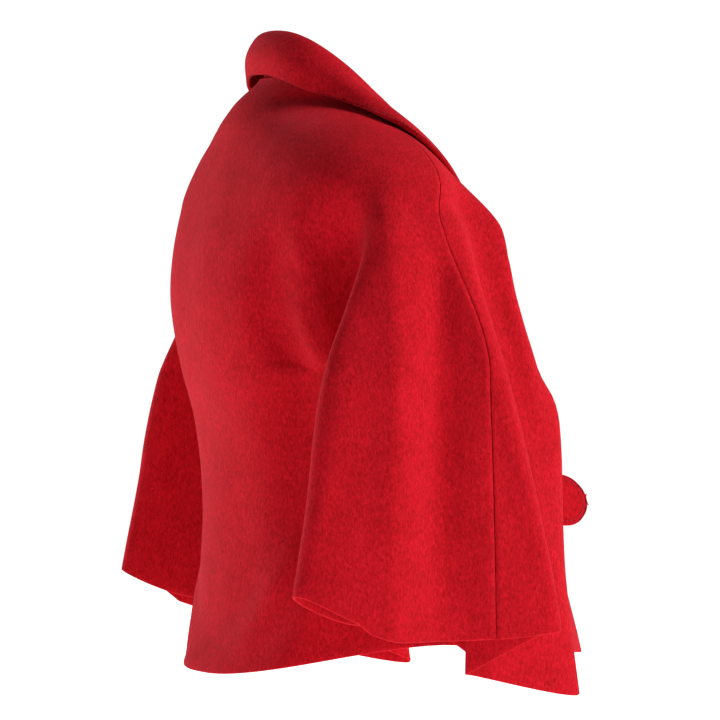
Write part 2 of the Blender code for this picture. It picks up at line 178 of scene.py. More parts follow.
# %% [markdown]
# Each sleeve hangs as a wide flat tube with its own folds. Seen from above it
# is a closed line through eleven named points, and each level has its own.

# %% Sleeve sections
# height, outer x, inner x, back fold y, front ridge y, pleat y, front fold x, front fold y
SLEEVE_SECTIONS = (
    (-0.085, 0.211, 0.184, 0.052, -0.018, -0.040, 0.170, -0.074),
    (-0.120, 0.227, 0.184, 0.048, -0.024, -0.044, 0.190, -0.078),
    (-0.160, 0.240, 0.184, 0.054, -0.036, -0.050, 0.203, -0.086),
    (-0.215, 0.252, 0.184, 0.075, -0.047, -0.050, 0.212, -0.092),
    (-0.275, 0.263, 0.184, 0.100, -0.059, -0.046, 0.216, -0.112),
    (-0.305, 0.266, 0.197, 0.108, -0.066, -0.044, 0.217, -0.129),
    (-0.340, 0.270, 0.198, 0.114, -0.073, -0.042, 0.218, -0.134),
    (-0.400, 0.275, 0.198, 0.122, -0.086, -0.037, 0.219, -0.135),
    (-0.480, 0.280, 0.201, 0.137, -0.103, -0.033, 0.220, -0.139),
    (-0.580, 0.284, 0.205, 0.153, -0.121, -0.028, 0.222, -0.151),
)
print(len(SLEEVE_SECTIONS), "levels of a sleeve")

# %% [markdown]
# From level to level the eleven points join up to lines down the sleeve, round
# from the back armhole to the front one. Each is something that a maker would
# name. They start on the yoke, and each ends at a height of its own, which gives
# the hem its slant.

# %% Lines down the sleeve
# name, angle on the yoke in degrees from centre back, height of the hem
SLEEVE_LINES = (
    ("back armhole", 56, -0.510),
    ("inner back", 61, -0.505),
    ("back fold", 66, -0.477),
    ("back crest", 76, -0.518),
    ("trough", 84, -0.518),
    ("overarm seam", 90, -0.517),
    ("front ridge", 97, -0.511),
    ("pleat", 105, -0.550),
    ("front fold", 117, -0.574),
    ("inner front", 124, -0.548),
    ("front armhole", 131, -0.510),
)
SEAM_LINE = 5             # place of the overarm seam in that list
LAST_LINE = len(SLEEVE_LINES) - 1
BACK_HEM = -0.560         # height of the body's hem at centre back
SIDE_HEM = -0.528         # at its sides
FRONT_HEM = -0.549        # and at the front edge
STEP_LINE = 2.62          # place of the small step in the sleeve's hem
STEP = 0.00455            # and its height
print(len(SLEEVE_LINES), "lines run down each sleeve")

# %% [markdown]
# The cloth will be a grid. Its rows are drawn together where it turns fast, and
# its columns where the sleeve folds. The broad folds of the body are a table
# too, so that one can be moved without touching the others.

# %% Rows, columns and broad folds
ROWS_ABOVE = 17           # rows of faces from the neck to the underarm
ROWS_BELOW = 9            # and from the underarm to the hems
ROWS = ROWS_ABOVE + ROWS_BELOW
SHOULDER_ROWS = 1.6       # above 1 draws the rows together over the shoulders
UNDERARM_ROWS = 1.15      # above 1 draws them together at the underarm
BACK_COLUMNS = 10         # from centre back to the armhole
FRONT_COLUMNS = 8         # from the armhole to the front edge
SPANS = (2, 4, 4, 2, 2, 3, 4, 5, 4, 3)   # faces between each two sleeve lines
FOLD_RADIUS = {2: 0.008, 6: 0.007, 7: 0.006, 8: 0.010}   # of the sleeve lines that are folds
# Soft folds of the body. A positive depth is a ridge, a negative one a trough.
# top height, bottom height, column at the top, at the bottom, width, depth
BODY_FOLDS = (
    (-0.125, -0.330, 0.80, 0.74, 0.090, 0.010),
    (-0.150, -0.480, 0.62, 0.60, 0.100, -0.010),
    (-0.400, -0.600, 0.72, 0.34, 0.090, 0.006),
    (-0.300, -0.620, 1.45, 1.50, 0.110, 0.006),
    (-0.300, -0.620, 1.26, 1.22, 0.090, -0.006),
)
print(len(BODY_FOLDS), "broad folds on each half of the body")

# %% [markdown]
# The armhole is only the place where body and sleeve part. A soft valley runs
# down to it from the shoulder, deepest half way.

# %% Armhole
ARMHOLE_TOP = -0.10       # where the valley starts
VALLEY = 0.030            # its greatest depth
VALLEY_POWER = 8          # a higher power makes it narrower
FRONT_VALLEY = 0.6        # share of the depth that it has in front


def down_armhole(height):
    """0 at the top of the armhole, 1 at the underarm."""
    return min(1.0, max(0.0, (height - ARMHOLE_TOP) / (UNDERARM - ARMHOLE_TOP)))


def armhole_angles(height):
    """Where the body's section stops, behind and in front of the armhole."""
    down = down_armhole(height)
    opening = math.sqrt(1.0 - down * down)
    back = math.radians(90.0 - (90.0 - SLEEVE_LINES[0][1]) * opening)
    front = math.radians(90.0 + (SLEEVE_LINES[-1][1] - 90.0) * opening)
    return back, front


def valley(height):
    """Depth of the soft valley between body and sleeve, above the underarm."""
    return VALLEY * math.sin(math.pi * down_armhole(height)) ** 1.5


print("the valley is", round(1000 * valley(SLEEVE_START)), "mm deep where the sleeve starts")

# %% [markdown]
# The plan of the body is its oval, less the valley, plus the broad folds. Each
# fold is a bell-shaped ridge or trough that fades out at its top and bottom.

# %% Plan of the body
def body_folds(height, column):
    """How far the broad folds lift the cloth at one place of the body."""
    lift = 0.0
    for top, bottom, column_top, column_bottom, width, depth in BODY_FOLDS:
        down = (height - top) / (bottom - top)
        if 0.0 < down < 1.0:
            crest = column_top + (column_bottom - column_top) * down
            lift += depth * math.sin(math.pi * down) * math.exp(-((column - crest) / width) ** 2)
    return lift


def body_point(height, column):
    """Plan of the body: column runs 0 to 1 over the back and 1 to 2 over the front."""
    back_angle, front_angle = armhole_angles(height)
    ahead = column - 1.0
    if column <= 1.0:
        point = oval(height, back_angle * column)
        point.y -= valley(height) * column**VALLEY_POWER
    else:
        point = oval(height, front_angle + (math.pi - front_angle) * ahead)
        point.y += FRONT_VALLEY * valley(height) * (1.0 - ahead) ** VALLEY_POWER
    return point + point.normalized() * body_folds(height, column)


print("front edge stands", round(-1000 * body_point(-0.5, 2.0).y), "mm forward near the hem")

# %% [markdown]
# On the yoke the sleeve's lines lie on the body's own ovals. Below it each goes
# its own way. The two are blended over a few centimetres, so the shoulder stays
# one smooth surface: this garment has no armhole seam.

# %% Plan of the sleeve's lines
INNER_Y = -0.008          # where the tube closes on its inner side
FORWARD = (-0.11, -0.28)  # heights between which the middle lines go forward


def sleeve_lines(height):
    """Plan of every sleeve line at this height, from back to front armhole."""
    outer, inner, back, ridge, pleat, front_x, front_y = section(SLEEVE_SECTIONS, height)
    below = height < UNDERARM
    back_end = Vector((inner, INNER_Y)) if below else body_point(height, 1.0)
    front_end = Vector((inner, INNER_Y)) if below else body_point(height, 1.00001)
    back_fold = Vector((outer - 0.015, back))
    front_fold = Vector((front_x, front_y))
    forward = smoothstep(*FORWARD, height)
    own = [
        back_end,
        back_end.lerp(back_fold, 0.5) + Vector((0.001, -0.003)),
        back_fold,
        Vector((outer, 0.040)),
        Vector((outer - 0.008 * forward, 0.012 - 0.030 * forward)),
        Vector((outer - 0.002, -0.009 - 0.039 * forward)),
        Vector((outer - 0.009, ridge)),
        Vector((outer - 0.029, pleat)),
        front_fold,
        front_end.lerp(front_fold, 0.5) + Vector((0.004, 0.0)),
        front_end,
    ]
    share = smoothstep(YOKE_END, SLEEVE_START, height)
    points = []
    for line, point in zip(SLEEVE_LINES, own):
        points.append(oval(height, math.radians(line[1])).lerp(point, share))
    points[0], points[-1] = back_end, front_end
    return points


print("a sleeve has", len(sleeve_lines(UNDERARM)), "lines at every height")

# %% [markdown]
# A curve through the points has to turn tightly at a fold and hang slack between
# folds. So the slope at a fold follows from the radius that the thick wool takes
# there. One of Blender's own curves would do, but this one keeps every place.

# %% Curves with folds
def round_slope(across, chord, radius):
    """The slope that turns a fold of this radius at the end of a chord."""
    return across.normalized() * min(math.sqrt(6.0 * chord * radius), 0.9 * chord)


def curve(points, place, first, last, folded=0.0):
    """A smooth curve through points; place counts points, and need not be whole."""
    i = min(len(points) - 2, int(place))
    t = place - i
    before = points[i - 1] if i > 0 else first
    after = points[i + 2] if i + 2 < len(points) else last
    b, c = points[i], points[i + 1]
    chord = (c - b).length
    slope_b = (c - before) * (chord / ((b - before).length + chord))
    slope_c = (after - b) * (chord / ((after - c).length + chord))
    if folded and i in FOLD_RADIUS:
        slope_b = slope_b.lerp(round_slope(c - before, chord, FOLD_RADIUS[i]), folded)
    if folded and i + 1 in FOLD_RADIUS:
        slope_c = slope_c.lerp(round_slope(after - b, chord, FOLD_RADIUS[i + 1]), folded)
    return ((2 * t**3 - 3 * t**2 + 1) * b + (t**3 - 2 * t**2 + t) * slope_b
            + (3 * t**2 - 2 * t**3) * c + (t**3 - t**2) * slope_c)


print("the tightest fold has a radius of", 1000 * min(FOLD_RADIUS.values()), "mm")

# %% [markdown]
# Above the underarm a sleeve opens into the body and takes the body's slope at
# both ends. Below it closes on itself as a tube, and its folds sharpen on the
# way down.

# %% Plan of the sleeve
FOLDING = (-0.18, -0.34)  # heights between which the folds sharpen


def sleeve_point(height, place):
    """Plan of the sleeve; place counts sleeve lines from the back armhole."""
    points = sleeve_lines(height)
    folded = smoothstep(*FOLDING, height)
    if height < UNDERARM:
        return curve(points, place, points[-2], points[1], folded)
    first = body_point(height, 0.85)
    last = body_point(height, 1.15)
    return curve(points, place, first, last, folded)


print("sleeve reaches", round(1000 * sleeve_point(-0.5, 3.0).x), "mm out near its hem")

# %% [markdown]
# The neck seam is a ring that falls to the front. The cloth near it is drawn in
# towards the ring, less and less on the way down, and that makes the slope of
# the shoulders.

# %% Neck
def neck_height(angle):
    """Height of the neck seam, by its angle from centre back."""
    return -NECK_DROP * (math.sin(angle / 2) ** 2) ** NECK_POWER


def at_neck(point, height, angle):
    """Draw a point of the yoke in towards the neck seam."""
    top = neck_height(angle)
    level = max(0.0, (top - height) / (top - UNDERARM)) / NECK_REACH
    share = max(0.0, 1.0 - level**0.6) ** 2
    reach = NECK_BACK if math.cos(angle) > 0 else NECK_FRONT
    neck = Vector((NECK_HALF_WIDTH * math.sin(angle), reach * math.cos(angle)))
    return point.lerp(neck, share)


print("neck seam falls", round(-1000 * neck_height(math.pi)), "mm to the front")

# %% [markdown]
# The body's hem hangs lowest at centre back. The sleeve's hem goes softly from
# the end of one line to the next, with one small step beside the back fold.

# %% Hems
def body_hem(column):
    """Height of the body's hem at one column."""
    if column <= 1.0:
        return SIDE_HEM + (BACK_HEM - SIDE_HEM) * math.cos(column * math.pi / 2) ** 1.5
    return SIDE_HEM + (FRONT_HEM - SIDE_HEM) * math.sin((column - 1.0) * math.pi / 2) ** 1.5


def sleeve_hem(place):
    """Height of the sleeve's hem at one place."""
    i = min(LAST_LINE - 1, int(place))
    share = smoothstep(0.0, 1.0, place - i)
    hem = SLEEVE_LINES[i][2] * (1.0 - share) + SLEEVE_LINES[i + 1][2] * share
    if 2.0 < place < STEP_LINE:
        hem += STEP * (place - 2.0) / (STEP_LINE - 2.0)
    return hem


print("a sleeve hangs", round(-1000 * sleeve_hem(8.0)), "mm below the nape at its front fold")

# %% [markdown]
# Now each row and column gets its place: rows by height on their own line down
# the cloth, columns by their angle round the neck seam. Columns gather at the
# sleeve's lines, where the folds need them.

# %% Rows and columns
GATHER = 0.09             # how strongly the columns gather at a line


def row_height(row, top, hem):
    """Height of a row of points on a line from its top to its hem."""
    if row <= ROWS_ABOVE:
        share = 1.0 - (1.0 - (row / ROWS_ABOVE) ** SHOULDER_ROWS) ** UNDERARM_ROWS
        return top + (UNDERARM - top) * share
    return UNDERARM + (hem - UNDERARM) * (row - ROWS_ABOVE) / ROWS_BELOW


def sleeve_places():
    """Where the sleeve's columns lie, counted in sleeve lines."""
    places = [0.0]
    for line, faces in enumerate(SPANS):
        for step in range(1, faces + 1):
            share = step / faces
            places.append(line + share - GATHER * math.sin(2 * math.pi * share))
    return places


def yoke_angle(column):
    """Angle on the neck seam of a body column."""
    back, front = (math.radians(SLEEVE_LINES[i][1]) for i in (0, -1))
    if column <= 1.0:
        return back * column
    return front + (math.pi - front) * (column - 1.0)


def place_angle(place):
    """Angle on the neck seam of a sleeve place."""
    i = min(LAST_LINE - 1, int(place))
    low, high = SLEEVE_LINES[i][1], SLEEVE_LINES[i + 1][1]
    return math.radians(low + (high - low) * (place - i))


print("first row lies", round(-1000 * row_height(1, 0.0, BACK_HEM), 1), "mm below the neck seam at the back")

# %% [markdown]
# The solids are coarse. The cloth gets four rows for each of theirs and three
# columns, which is enough for a crease a few millimetres wide.

# %% A finer grid
FINE_DOWN = 4
FINE_ROUND = 3
UNDERARM_ROW = ROWS_ABOVE * FINE_DOWN
LAST_ROW = ROWS * FINE_DOWN
BACK_LAST = BACK_COLUMNS * FINE_ROUND
FRONT_LAST = FRONT_COLUMNS * FINE_ROUND
BODY_LAST = BACK_LAST + FRONT_LAST + 1
UNDERARM_POINT = ("body", UNDERARM_ROW, BACK_LAST)


def finer(values):
    """The same run of numbers with FINE_ROUND steps for each old one."""
    result = [values[0]]
    for low, high in zip(values, values[1:]):
        for step in range(1, FINE_ROUND + 1):
            result.append(low + (high - low) * step / FINE_ROUND)
    return result


PLACES = finer(sleeve_places())
SEAM_PLACE = sum(SPANS[:SEAM_LINE]) * FINE_ROUND
print(LAST_ROW, "rows,", BODY_LAST, "body columns and", len(PLACES), "sleeve columns")

# %% [markdown]
# Every point is known by its part, row and column. Where the sleeve grows out of
# the body both names lead to one point, and below the underarm the sleeve's last
# column is its first. Shared points make one cloth without slits.

# %% Names for the points
JUST_PAST = 1e-6          # keeps the front's first column off the back's last


def body_key(row, column):
    """Columns 0 to BACK_LAST are the back, the rest the front."""
    if row >= UNDERARM_ROW and column == BACK_LAST + 1:
        column = BACK_LAST
    return ("body", row, column)


def sleeve_key(row, place):
    if row <= UNDERARM_ROW and place == 0:
        return body_key(row, BACK_LAST)
    if row <= UNDERARM_ROW and place == len(PLACES) - 1:
        return body_key(row, BACK_LAST + 1)
    if place == len(PLACES) - 1:
        place = 0
    return ("sleeve", row, place)


def body_column(column):
    if column <= BACK_LAST:
        return column / BACK_LAST
    return 1.0 + (column - BACK_LAST - 1) / FRONT_LAST + JUST_PAST


print("body and sleeve part below the point", UNDERARM_POINT)

# %% [markdown]
# Points first, then the faces between them, each marked with the cut piece that
# it belongs to. Only the wearer's left is made: the right is its mirror.

# %% Lay out half of the garment
def body_row(points, row):
    for index in range(BODY_LAST + 1):
        column = body_column(index)
        angle = yoke_angle(column)
        height = row_height(row / FINE_DOWN, neck_height(angle), body_hem(column))
        x, y = at_neck(body_point(height, min(column, 2.0)), height, angle)
        points[body_key(row, index)] = Vector((x, y, height))


def sleeve_row(points, row):
    last = len(PLACES) - 1 if row <= UNDERARM_ROW else len(PLACES)
    for index in range(1, last):
        place = PLACES[index]
        angle = place_angle(place)
        height = row_height(row / FINE_DOWN, neck_height(angle), sleeve_hem(place))
        x, y = at_neck(sleeve_point(height, place), height, angle)
        points[sleeve_key(row, index)] = Vector((x, y, height))


def square(key, row, index):
    return [key(row + i, index + j) for i, j in ((0, 0), (0, 1), (1, 1), (1, 0))]


def half_garment():
    """Points and faces of the cloth's middle surface on the wearer's left."""
    points, faces = {}, []
    for row in range(LAST_ROW + 1):
        body_row(points, row)
        sleeve_row(points, row)
    for row in range(LAST_ROW):
        for index in range(BODY_LAST):
            if index != BACK_LAST:
                piece = "back" if index < BACK_LAST else "front"
                faces.append((piece, square(body_key, row, index)))
        for index in range(len(PLACES) - 1):
            piece = "back" if index < SEAM_PLACE else "front"
            faces.append((piece, square(sleeve_key, row, index)))
    return points, faces


half_points, half_faces = half_garment()
print("half the garment has", len(half_faces), "faces")

# %% [markdown]
# Creases are listed one by one, as a maker would see them from beside the sleeve:
# across and down from the nape, in millimetres. Each is a soft ridge or trough
# between two spots that fades out at both ends. Slow noise keeps the two sides
# of the garment from being alike, as real cloth never hangs the same twice.

# %% Creases
# part, across and down at the top, across and down at the bottom, width, height
CREASES = (
    ("body", -34, 153, -2, 275, 9, 4.0),
    ("body", -50, 140, -40, 480, 24, -7.0),
    ("body", -50, 176, -32, 198, 6, -1.8),
    ("body", -52, 196, -34, 222, 7, -1.6),
    ("body", -29, 428, -95, 544, 15, 5.0),
    ("body", -60, 470, -125, 540, 16, -2.0),
    ("body", -67, 115, -74, 324, 24, -3.5),
    ("body", -120, 330, -105, 520, 20, 2.0),
    ("body", 24, 44, 70, 56, 6, 1.6),
    ("sleeve", 52, 165, 44, 560, 15, 5.0),
    ("sleeve", 92, 150, 92, 540, 13, -7.0),
    ("sleeve", 105, 126, 204, 524, 10, 4.5),
    ("sleeve", 150, 174, 184, 344, 9, 3.0),
    ("sleeve", 81, 300, 76, 515, 8, -1.6),
    ("sleeve", 10, 330, -18, 500, 11, -2.4),
    ("sleeve", 40, 120, 95, 150, 9, -1.4),
)
CREASE_DEPTH = 1.4        # all the creases are this much deeper than listed
WANDER = 0.0020           # how far slow noise moves the cloth
RIPPLE = 0.00035          # and quick noise
SLOW_GRAIN = (14, 14, 7)  # fineness of the slow noise along x, y and z
QUICK_GRAIN = (60, 60, 35)


def crease_lift(part, point):
    """How far the creases lift the cloth at one point, in metres."""
    across = 1000 * (-abs(point.x) * screen_right.x + point.y * screen_right.y)
    down = -1000 * point.z
    lift = 0.0
    for name, x0, z0, x1, z1, width, height in CREASES:
        if name != part:
            continue
        run = Vector((x1 - x0, z1 - z0))
        spot = Vector((across - x0, down - z0))
        along = spot.dot(run) / run.length_squared
        if 0.0 < along < 1.0:
            aside = (spot - run * along).length
            lift += height * math.sin(math.pi * along) ** 0.7 * math.exp(-(aside / width) ** 2)
    return CREASE_DEPTH * lift / 1000


def noise_at(point, grain):
    """Blender's own smooth noise, between -1 and 1, at this fineness."""
    return noise.noise(Vector([place * fine for place, fine in zip(point, grain)]))


def wander(point):
    """How far noise moves the cloth at one point, in metres."""
    return WANDER * noise_at(point, SLOW_GRAIN) + RIPPLE * noise_at(point, QUICK_GRAIN)


print(len(CREASES), "creases laid by hand")

# %% [markdown]
# A wall keeps its thickness in a crease only if the way through it is longer
# there, as in a mitred corner, so each point's way out carries that length.

# %% Ways out of the cloth
LEAST_LEAN = 0.1          # guards the division where a face stands on edge


def surface_normals(points, faces):
    """The way out at each point, longer in a crease so that the wall keeps its thickness."""
    normals = {key: Vector() for key in points}
    around = {key: [] for key in points}
    for _piece, corners in faces:
        a, b, c, d = (points[key] for key in corners)
        face_normal = (c - a).cross(d - b)
        for key in corners:
            normals[key] += face_normal
            around[key].append(face_normal.normalized())
    for key, normal in normals.items():
        normal.normalize()
        if key == UNDERARM_POINT:
            normal.xyz = (0.0, 0.0, -1.0)
        lean = sum(abs(normal.dot(other)) for other in around[key]) / len(around[key])
        normal *= min(MITRE, 1.0 / max(lean, LEAST_LEAN))
    return normals


half_normals = surface_normals(half_points, half_faces)
longest = max(normal.length for normal in half_normals.values())
print("a crease lengthens the way through the cloth up to", round(longest, 2), "times")

# %% [markdown]
# A cut edge of boiled wool doesn't fray. It stays thick and soft, so each free
# edge is rounded over with three narrow strips instead of one flat one. Along a
# seam the two rounded edges make the fine groove that a sewn seam shows.

# %% Edges
def free_edges(faces):
    """The edges that only one face has."""
    edges = {}
    for corners in faces:
        for a, b in zip(corners, corners[1:] + corners[:1]):
            pair = frozenset((a, b))
            edges[pair] = None if pair in edges else (a, b)
    return [edge for edge in edges.values() if edge]


def edge_ways(points, normals, faces, rim):
    """At each point of the rim, the way out past the edge, in the cloth."""
    ways = {key: Vector() for edge in rim for key in edge}
    for corners in faces:
        if not any(key in ways for key in corners):
            continue
        middle = sum((points[key] for key in corners), Vector()) / len(corners)
        for key in corners:
            if key in ways:
                ways[key] += points[key] - middle
    along = {key: Vector() for key in ways}
    for a, b in rim:
        step = (points[b] - points[a]).normalized()
        along[a] += step
        along[b] += step
    for key, way in ways.items():
        for other in (along[key], normals[key]):
            if other.length > 0.1:
                line = other.normalized()
                way -= line * way.dot(line)
        way.normalize()
    return ways


rim = free_edges([corners for _piece, corners in half_faces])
print("half the garment has", len(rim), "free edges")

# %% [markdown]
# One function then makes every piece of cloth: an outer and an inner skin, joined
# by the round edge. Blender's Solidify modifier would do the skins, but it can't
# round one edge more than another, and a seam is rounded less than a hem.

# %% Closed walls with round edges
ROUND = 0.45              # share of the thickness that a free edge is rounded by
SEAM_ROUND = 0.14         # and one that is sewn to its neighbour
PRESSED_ROUND = 0.02      # and one over the shoulder, where the seam is pressed flat
# rise and reach of each point round an edge, from the outer skin to the inner
ARC = ((0.5, 0.0), (0.40, 0.62), (0.0, 1.0), (-0.40, 0.62), (-0.5, 0.0))


def split(points, corners):
    """Two triangles, cut along the shorter diagonal so that both sides match."""
    a, b, c, d = corners
    if (points[a] - points[c]).length <= (points[b] - points[d]).length:
        return (a, b, c), (a, c, d)
    return (b, c, d), (b, d, a)


def add_piece(name, places, polygons, material):
    """One smooth piece of the scene from its points and faces."""
    mesh = bpy.data.meshes.new(name)
    mesh.from_pydata(places, [], polygons)
    mesh.validate()
    mesh.shade_smooth()
    mesh.materials.append(material)
    piece = bpy.data.objects.new(name, mesh)
    bpy.context.scene.collection.objects.link(piece)
    return piece


def soft_shell(name, points, normals, faces, thickness, material, sewn=None):
    """A closed wall of this thickness round a surface, with rounded edges."""
    rim = free_edges(faces)
    ways = edge_ways(points, normals, faces, rim)
    places, polygons = [], []
    outside, inside, arcs = {}, {}, {}
    for key, point in points.items():
        soft = thickness * (sewn or {}).get(key, ROUND)
        drawn = point - ways[key] * soft if key in ways else point
        outside[key] = len(places)
        places.append(drawn + normals[key] * thickness * 0.5)
        inside[key] = len(places)
        places.append(drawn - normals[key] * thickness * 0.5)
        if key in ways:
            arcs[key] = [outside[key]]
            for rise, out in ARC[1:-1]:
                arcs[key].append(len(places))
                places.append(drawn + normals[key] * thickness * rise + ways[key] * soft * out)
            arcs[key].append(inside[key])
    for corners in faces:
        for triangle in split(points, corners):
            polygons.append([outside[key] for key in triangle])
            polygons.append([inside[key] for key in reversed(triangle)])
    for a, b in rim:
        for i in range(len(ARC) - 1):
            polygons.append([arcs[b][i], arcs[a][i], arcs[a][i + 1], arcs[b][i + 1]])
    return add_piece(name, places, polygons, material)


def cloth_area(points, faces):
    """Area of the cloth's middle surface, which is what a maker would cut."""
    area = 0.0
    for corners in faces:
        a, b, c, d = (points[key] for key in corners)
        area += (c - a).cross(d - b).length / 2
    return area


print("an edge is rounded by", round(1000 * ROUND * CLOTH, 2), "mm")

# %% [markdown]
# Boiled wool is knitted, then felted and brushed. Up close it shows no stitches,
# only a matted nap: short streaks a millimetre or two wide that run mostly down
# the cloth, lighter on their tips and darker between. Two scales of noise give
# the streaks, a slow one the patches, and sheen the pale bloom at the edges.

# %% Helpers for the materials
def set_inputs(node, values):
    """Plain values for a node's inputs, by name."""
    for name, value in values.items():
        node.inputs[name].default_value = value


def noise_texture(tree, place, scale, detail):
    texture = tree.nodes.new("ShaderNodeTexNoise")
    set_inputs(texture, {"Scale": scale, "Detail": detail})
    tree.links.new(place, texture.inputs["Vector"])
    return texture


def added(tree, extra, share, base):
    """The base pattern plus a share of another one."""
    both = tree.nodes.new("ShaderNodeMath")
    both.operation = "MULTIPLY_ADD"
    both.inputs[1].default_value = share
    tree.links.new(extra.outputs["Fac"], both.inputs[0])
    tree.links.new(base.outputs["Fac"], both.inputs[2])
    return both.outputs["Value"]


print("materials are built from noise in the cloth's own space")

# %% [markdown]
# The streaks are noise that is stretched down the cloth and tilted a little, as
# a brush leaves them. Patches shift their colour, and fuzz their height. An image
# of wool could do the same, but noise has no seams and no end.

# %% Nap
NAP_TILT = (0.25, 0.2, 0.0)
NAP_STRETCH = (1.0, 1.0, 0.5)
PATCH_SCALE = 38.0
PATCH_SHARE = 0.22
FUZZ_FINER = 2.6          # than the streaks
FUZZ_SHARE = 0.5


def nap(tree, streak):
    """The pattern that colours the wool, and the one that raises it."""
    place = tree.nodes.new("ShaderNodeTexCoord").outputs["Object"]
    stretch = tree.nodes.new("ShaderNodeMapping")
    set_inputs(stretch, {"Rotation": NAP_TILT, "Scale": NAP_STRETCH})
    tree.links.new(place, stretch.inputs["Vector"])
    streaks = noise_texture(tree, stretch.outputs["Vector"], streak, 5.0)
    set_inputs(streaks, {"Roughness": 0.62, "Distortion": 0.8})
    fuzz = noise_texture(tree, stretch.outputs["Vector"], streak * FUZZ_FINER, 3.0)
    patches = noise_texture(tree, place, PATCH_SCALE, 4.0)
    return added(tree, patches, PATCH_SHARE, streaks), added(tree, fuzz, FUZZ_SHARE, streaks)


print("the fuzz is", FUZZ_FINER, "times finer than the streaks")

# %% [markdown]
# The cloth is matt, with a weak pink sheen for the bloom. A ramp turns the streaks
# into a deep red and a bright one. The collar and tab are pressed, so their nap is
# a little finer and darker. The thread has no nap.

# %% Wool and thread
SHADE_STOPS = (0.42, 0.88)
NAP_HEIGHT = 0.0011


def wool(name, deep, bright, streak):
    material = bpy.data.materials.new(name)
    material.use_nodes = True
    tree = material.node_tree
    surface = tree.nodes["Principled BSDF"]
    set_inputs(surface, {"Roughness": 0.95, "Specular IOR Level": 0.15, "Sheen Weight": 0.16})
    set_inputs(surface, {"Sheen Roughness": 0.4, "Sheen Tint": (1.0, 0.12, 0.20, 1.0)})
    colour, height = nap(tree, streak)
    shades = tree.nodes.new("ShaderNodeValToRGB")
    for i, shade in enumerate((deep, bright)):
        shades.color_ramp.elements[i].position = SHADE_STOPS[i]
        shades.color_ramp.elements[i].color = (*shade, 1.0)
    bump = tree.nodes.new("ShaderNodeBump")
    set_inputs(bump, {"Strength": 0.55, "Distance": NAP_HEIGHT})
    tree.links.new(colour, shades.inputs["Fac"])
    tree.links.new(shades.outputs["Color"], surface.inputs["Base Color"])
    tree.links.new(height, bump.inputs["Height"])
    tree.links.new(bump.outputs["Normal"], surface.inputs["Normal"])
    return material


body_wool = wool("brushed_wool", (0.37, 0.0008, 0.004), (0.78, 0.007, 0.022), 480.0)
trim_wool = wool("pressed_wool", (0.36, 0.0008, 0.004), (0.76, 0.007, 0.022), 520.0)
thread = bpy.data.materials.new("thread")
thread.use_nodes = True
thread_surface = thread.node_tree.nodes["Principled BSDF"]
set_inputs(thread_surface, {"Base Color": (0.30, 0.003, 0.012, 1.0), "Roughness": 0.7})
print("two wools and one thread")

# %% [markdown]
# The back is cut in one with the back half of both sleeves, and each front with
# the front half of its own. So there are only three big pieces, and the one long
# seam runs from the neck over the shoulder to the cuff.

# %% Seams
def seam_direction(points, seam, key):
    """The way along the seam at one of its points."""
    part, row, index = key
    above = (part, row - 1, index)
    below = (part, row + 1, index)
    start = points[above] if above in seam else points[key]
    end = points[below] if below in seam else points[key]
    return (end - start).normalized()


def seam_shift(points, faces, piece):
    """Small moves that draw a piece's sewn edges back from its neighbour's."""
    here = {key for name, corners in faces if name == piece for key in corners}
    there = {key for name, corners in faces if name != piece for key in corners}
    moves = {key: Vector() for key in here & there}
    for name, corners in faces:
        if name != piece:
            continue
        middle = sum((points[key] for key in corners), Vector()) / len(corners)
        for key in corners:
            if key in moves:
                moves[key] += middle - points[key]
    on_seam = {}
    for key, pull in moves.items():
        along = seam_direction(points, moves, key)
        pull -= along * pull.dot(along)
        on_seam[key] = pull.normalized() * SEAM_GAP
    return on_seam


print("sewn edges stand back by", SEAM_GAP * 1000, "mm")

# %% [markdown]
# Each piece takes its own faces of the grid, on one side or both, and then its
# creases. The right side is a mirror of the left in plan, but its noise is its
# own. The points at centre back are shared, so the back stays one piece.

# %% Cut pieces
LEVEL = (-0.08, -0.14)    # heights between which creases turn level
HANGING = (-0.20, -0.27)  # and between which the pressed seam turns soft


def mirror(point):
    return Vector((-point.x, point.y, point.z))


def lifted(part, point, normal, point_here):
    """The point moved by creases and noise, level where the cloth hangs, so rows never cross."""
    way = normal.normalized()
    way.z *= 1.0 - smoothstep(*LEVEL, point.z)
    return point + way * (crease_lift(part, point) + wander(point_here))


def piece_point(key, side, middle):
    """One point of the cloth on one side, with the way out from it."""
    base = half_points[key]
    here = base if side > 0 else mirror(base)
    point = lifted(key[0], base, half_normals[key], here)
    normal = half_normals[key].copy()
    if middle:
        point.x, normal.x = 0.0, 0.0
    if key[0] == "body" and key[2] == BODY_LAST:
        point.x = FRONT_GAP / 2
    return point, normal


def make_piece(name, piece, sides):
    """A cut piece. sides is (1,), (-1,) or both, which meet at centre back."""
    shift = seam_shift(half_points, half_faces, piece)
    points, normals, faces = {}, {}, []
    for side in sides:
        for part, corners in half_faces:
            if part != piece:
                continue
            loop = []
            for key in corners:
                middle = piece == "back" and key[0] == "body" and key[2] == 0
                own = (key, 0 if middle else side)
                loop.append(own)
                if own in points:
                    continue
                point, normal = piece_point(key, side, middle)
                point += shift.get(key, Vector())
                if side < 0 and not middle:
                    point, normal = mirror(point), mirror(normal)
                points[own], normals[own] = point, normal
            faces.append(loop if side > 0 else loop[::-1])
    print(name, "has", round(cloth_area(points, faces), 4), "square metres of cloth")
    sewn = {}
    for key, point in points.items():
        if key[0] in shift:
            hanging = smoothstep(*HANGING, point.z)
            sewn[key] = PRESSED_ROUND + (SEAM_ROUND - PRESSED_ROUND) * hanging
    return soft_shell(name, points, normals, faces, CLOTH, body_wool, sewn)


back = make_piece("capelet_back", "back", (1, -1))
left_front = make_piece("capelet_left_front", "front", (1,))
right_front = make_piece("capelet_right_front", "front", (-1,))

